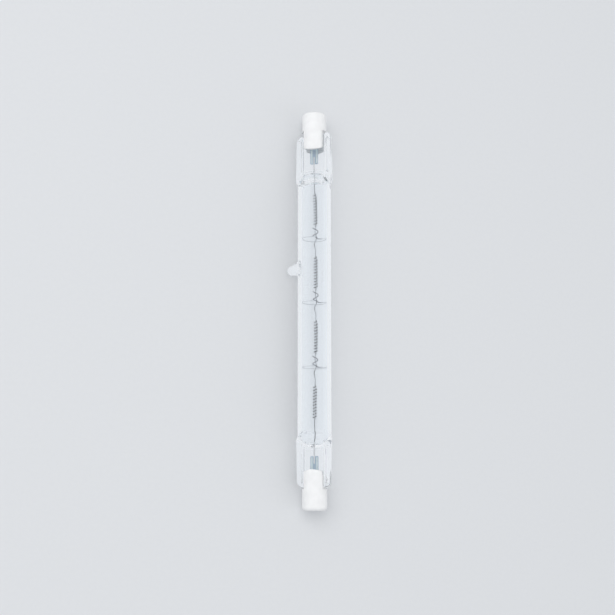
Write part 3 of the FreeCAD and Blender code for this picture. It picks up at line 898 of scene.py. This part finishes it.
def tongue_cutter(side):
    """What is cut off the tongues' ends to leave them slightly arched."""
    half_chord = math.sqrt(CAP_RADIUS ** 2 - SLOT_HALF ** 2)
    arch = (half_chord ** 2 + TONGUE_ARCH ** 2) / (2 * TONGUE_ARCH)
    steps = 40
    outline = []
    for k in range(steps + 1):
        x = -CAP_RADIUS - 0.5 + (2 * CAP_RADIUS + 1) * k / steps
        outline.append((x, CAP_INNER_Y + arch - math.sqrt(arch ** 2 - x ** 2)))
    outline += [(CAP_RADIUS + 0.5, CAP_INNER_Y - 2), (-CAP_RADIUS - 0.5, CAP_INNER_Y - 2)]
    count = len(outline)
    points = [(x, side * y, -TONGUE_CUTTER_HALF) for x, y in outline]
    points += [(x, side * y, TONGUE_CUTTER_HALF) for x, y in outline]
    faces = [tuple(range(count)), tuple(count + k for k in range(count))[::-1]]
    for k in range(count):
        following = (k + 1) % count
        faces.append((k, count + k, count + following, following))
    if side < 0:
        faces = [face[::-1] for face in faces]
    return loose_mesh("tongue_cutter", points, faces)


def taken_mesh(piece):
    """The mesh of an object with its modifiers applied, and the object removed."""
    bpy.context.view_layer.update()
    evaluated = piece.evaluated_get(bpy.context.evaluated_depsgraph_get())
    mesh = bpy.data.meshes.new_from_object(evaluated)
    bpy.data.objects.remove(piece)
    return mesh


def make_cap(end_name, side, floor_y, material):
    """The ceramic cap: an eased round body with a slot for the seal and a recess for the contact."""
    edge_y = CAP_OUTER_Y - CAP_EDGE_ROUND
    outline = [(POINT, CAP_INNER_Y), (CAP_RADIUS, CAP_INNER_Y)]
    outline += [(CAP_RADIUS, y) for y in np.linspace(CAP_INNER_Y + 1, edge_y - 0.3, 9)]
    outline += arc(CAP_RADIUS - CAP_EDGE_ROUND, edge_y, CAP_EDGE_ROUND, 0, 90, 10)
    outline += arc(RECESS_RADIUS + RIM_ROUND, CAP_OUTER_Y - RIM_ROUND, RIM_ROUND, 90, 180, 5)
    floor = CAP_OUTER_Y - RECESS_DEPTH
    outline += arc(RECESS_RADIUS - FLOOR_ROUND, floor + FLOOR_ROUND, FLOOR_ROUND, 0, -90, 3)
    outline += [(POCKET_RADIUS, floor), (POCKET_RADIUS, CONTACT_SEAT_Y), (POINT, CONTACT_SEAT_Y)]
    points, faces = lathe(outline, side, 128)
    cap = loose_mesh("ceramic_body_" + end_name, points, faces)
    slot_ends = sorted((side * (CAP_INNER_Y - 2), side * floor_y))
    slot_low = (-SLOT_CUTTER_HALF, slot_ends[0], -SLOT_HALF)
    slot_high = (SLOT_CUTTER_HALF, slot_ends[1], SLOT_HALF)
    shank = [(SHANK_RADIUS, floor_y - 1), (SHANK_RADIUS, CONTACT_SEAT_Y + 0.5)]
    hole = loose_mesh("shank_hole", *lathe(shank, side, 64))
    cutters = [box_mesh("slot_cutter", slot_low, slot_high), tongue_cutter(side), hole]
    for cutter in cutters:
        cut = cap.modifiers.new("cut", "BOOLEAN")
        cut.object = cutter
        cut.operation = "DIFFERENCE"
        cut.solver = "EXACT"
    ease = cap.modifiers.new("ease", "BEVEL")
    ease.width = CAP_EASE
    ease.segments = 3
    ease.limit_method = "ANGLE"
    ease.angle_limit = math.radians(50)
    ease.use_clamp_overlap = True
    mesh = taken_mesh(cap)
    for cutter in cutters:
        bpy.data.objects.remove(cutter)
    return dressed(mesh, "ceramic_body_" + end_name, material, "ceramic_cap_" + end_name)


def dressed(mesh, name, material, node):
    """A finished mesh on the lamp's own axes as a piece in the place of its solid."""
    mesh.transform(TO_ROW)
    mesh.materials.clear()
    mesh.materials.append(material)
    piece = bpy.data.objects.new(name, mesh)
    bpy.context.scene.collection.objects.link(piece)
    shade_by_angle(mesh, math.radians(35))
    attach(piece, "root")
    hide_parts(node)
    return piece


def shade_by_angle(mesh, angle):
    """Smooth shading, with the sharp edges left sharp."""
    mesh.polygons.foreach_set("use_smooth", [True] * len(mesh.polygons))
    edit = bmesh.new()
    edit.from_mesh(mesh)
    for edge in edit.edges:
        edge.smooth = len(edge.link_faces) != 2 or edge.calc_face_angle(0) < angle
    edit.to_mesh(mesh)
    edit.free()
    mesh.update()


def make_contact(end_name, side, material):
    """The contact button: a domed head with a turned groove, on a shank."""
    top = CONTACT_TOP_Y
    outline = [(POINT, CONTACT_END_Y), (SHANK_RADIUS - 0.1, CONTACT_END_Y)]
    outline += [(SHANK_RADIUS, CONTACT_END_Y + 0.1), (SHANK_RADIUS, CONTACT_SEAT_Y)]
    outline += [(HEAD_RADIUS - 0.08, CONTACT_SEAT_Y), (HEAD_RADIUS, CONTACT_SEAT_Y + 0.08)]
    outline += arc(HEAD_RADIUS - HEAD_ROUND, top - 0.45, HEAD_ROUND, 0, 70, 8)
    face_radius = HEAD_RADIUS - HEAD_ROUND + HEAD_ROUND * math.cos(math.radians(70))
    for k in range(15):
        radius = face_radius * (1 - k / 14)
        groove = GROOVE_DEPTH * math.exp(-((radius - GROOVE_RADIUS) / GROOVE_WIDTH) ** 2)
        crown = HEAD_CROWN * (1 - (radius / HEAD_RADIUS) ** 2)
        outline.append((max(radius, POINT), top - HEAD_CROWN + crown - groove))
    points, faces = lathe(outline, side, 96)
    name = "contact_button_" + end_name
    piece = add_piece(name, points, faces, material, "contact_" + end_name)
    shade_by_angle(piece.data, math.radians(40))
    return piece


def make_cement(end_name, material):
    """The cement, as a rough filling in the place of its solid."""
    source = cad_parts["cement_" + end_name]
    mesh = source.data.copy()
    mesh.transform(TO_ROW.inverted())
    lump = bpy.data.objects.new("cement_filling_" + end_name, mesh)
    bpy.context.scene.collection.objects.link(lump)
    remesh = lump.modifiers.new("remesh", "REMESH")
    remesh.mode = "VOXEL"
    remesh.voxel_size = 0.11
    texture = bpy.data.textures.new("cement_lumps_" + end_name, "CLOUDS")
    texture.noise_scale = 0.6
    rough = lump.modifiers.new("rough", "DISPLACE")
    rough.texture = texture
    rough.strength = 0.09
    rough.mid_level = 0.45
    taken = taken_mesh(lump)
    return dressed(taken, "cement_filling_" + end_name, material, "cement_" + end_name)


# Studio

def world_light():
    """A pale studio all round, with darker stretches that show only in glass and metal."""
    world = bpy.data.worlds.new("studio")
    bpy.context.scene.world = world
    world.use_nodes = True
    tree = world.node_tree
    background = tree.nodes["Background"]
    coordinates = tree.nodes.new("ShaderNodeTexCoord")
    split = tree.nodes.new("ShaderNodeSeparateXYZ")
    tree.links.new(coordinates.outputs["Generated"], split.inputs["Vector"])
    ramp = tree.nodes.new("ShaderNodeValToRGB")
    stops = ramp.color_ramp.elements
    stops[0].position = 0.0
    stops[0].color = (0.95, 0.965, 0.985, 1)
    stops[1].position = 1.0
    stops[1].color = (0.34, 0.37, 0.41, 1)
    pale = (0.93, 0.945, 0.965)
    band = (0.52, 0.57, 0.63)
    upper = (0.42, 0.45, 0.49)
    for place, colour in ((0.10, pale), (0.16, band), (0.22, pale), (0.55, pale), (0.72, upper)):
        stops.new(place).color = (*colour, 1)
    tree.links.new(split.outputs["Z"], ramp.inputs["Fac"])
    plain = tree.nodes.new("ShaderNodeRGB")
    plain.outputs[0].default_value = (0.62, 0.63, 0.645, 1)
    colour = mixed_colour(tree, mirrored_or_refracted(tree), plain.outputs[0], ramp.outputs["Color"])
    tree.links.new(colour, background.inputs["Color"])
    background.inputs["Strength"].default_value = 1.0


def make_floor():
    """A plain pale floor under the lamp."""
    mesh = bpy.data.meshes.new("floor")
    edit = bmesh.new()
    bmesh.ops.create_circle(edit, cap_ends=True, segments=96, radius=1.6)
    edit.to_mesh(mesh)
    edit.free()
    floor = bpy.data.objects.new("floor", mesh)
    bpy.context.scene.collection.objects.link(floor)
    material, tree, shader = new_material("pale_floor")
    paper = noise_node(tree, 900, 3.0)
    colour = ramp_node(tree, paper.outputs["Fac"], (0.71, 0.725, 0.745), (0.72, 0.735, 0.755))
    share = math_node(tree, "MULTIPLY", mirrored_or_refracted(tree), 0.8)
    glow = tree.nodes.new("ShaderNodeEmission")
    glow.inputs["Color"].default_value = (0.895, 0.914, 0.942, 1)
    mixed_surface(tree, share, shader, glow)
    tree.links.new(colour.outputs["Color"], shader.inputs["Base Color"])
    shader.inputs["Roughness"].default_value = 0.85
    shader.inputs["Specular IOR Level"].default_value = 0.2
    mesh.materials.append(material)


def soft_lamp(name, place, size, power, colour):
    """A rectangular soft lamp that faces the object and isn't seen in it."""
    data = bpy.data.lights.new(name, "AREA")
    data.shape = "RECTANGLE"
    data.size = size[0]
    data.size_y = size[1]
    data.energy = power
    data.color = colour
    lamp = bpy.data.objects.new(name, data)
    bpy.context.scene.collection.objects.link(lamp)
    lamp.location = place
    lamp.rotation_mode = "QUATERNION"
    lamp.rotation_quaternion = (-Vector(place)).to_track_quat("-Z", "Y")
    lamp.visible_glossy = False
    lamp.visible_transmission = False
    return lamp


def make_camera():
    """The camera at the photograph's angle, with the lamp upright in the picture."""
    tilt_rest = math.sqrt(1 - CAMERA_TILT ** 2)
    back = Vector((-math.sin(CAMERA_TURN) * tilt_rest, -CAMERA_TILT, math.cos(CAMERA_TURN) * tilt_rest))
    right = Vector((0, 1, 0)).cross(back).normalized()
    up = back.cross(right)
    data = bpy.data.cameras.new("camera")
    data.lens = FOCAL_LENGTH
    data.sensor_width = SENSOR
    data.shift_x = SHIFT_X
    data.clip_start = 0.01
    camera = bpy.data.objects.new("camera", data)
    bpy.context.scene.collection.objects.link(camera)
    pose = Matrix((right, up, back)).transposed().to_4x4()
    pose = pose @ Matrix.Rotation(CAMERA_ROLL, 4, "Z")
    pose.translation = AXIS + back * (CAMERA_DISTANCE * MM)
    camera.matrix_world = pose
    bpy.context.scene.camera = camera


def make_lamp():
    """Every piece of the lamp in its finish."""
    quartz = quartz_material()
    tungsten = tungsten_material()
    support = support_material()
    molybdenum = metal_material("molybdenum", (0.86, 0.875, 0.89), (0.95, 0.96, 0.97), 0.4, 5000,
                                (1, 0.1, 1), 0.2)
    foil = foil_material()
    nickel = metal_material("nickel", (0.62, 0.61, 0.58), (0.75, 0.74, 0.71), 0.26, 2500, (1, 1, 1))
    steatite = mineral_material("steatite", (0.86, 0.865, 0.87), (0.91, 0.915, 0.92), 0.5,
                                500, 9000, 0.00002)
    cement = mineral_material("cement", (0.80, 0.81, 0.81), (0.90, 0.905, 0.905), 0.85,
                              1500, 7000, 0.00005)
    make_envelope(quartz)
    make_filament(tungsten)
    for index in range(COIL_COUNT - 1):
        make_support(index, support)
    for end_name, side in (("a", 1), ("b", -1)):
        make_foil(end_name, side, foil)
        make_lead("inner_lead_" + end_name, side, TAIL_END_Y, LEAD_INNER_END_Y,
                  INNER_LEAD_RADIUS, 0, molybdenum)
        make_lead("outer_lead_" + end_name, side, LEAD_OUTER_START_Y, CONTACT_SEAT_Y,
                  OUTER_LEAD_RADIUS, OUTER_LEAD_RADIUS - INNER_LEAD_RADIUS, molybdenum)
        rise = SEAL_SLANT[end_name] * CAP_RADIUS / SEAL_WIDTH["b"]
        make_cap(end_name, side, SEAL_OUTER_Y + rise + SLOT_GAP, steatite)
        make_contact(end_name, side, nickel)
        make_cement(end_name, cement)


make_lamp()
world_light()
make_floor()
soft_lamp("key", (-0.42, 0.2, 0.83), (0.9, 0.9), 4.5, (1.0, 0.99, 0.975))
soft_lamp("fill", (0.6, -0.3, 0.5), (0.6, 0.9), 0.8, (0.96, 0.98, 1.0))
make_camera()
bpy.context.scene.view_settings.view_transform = "Standard"
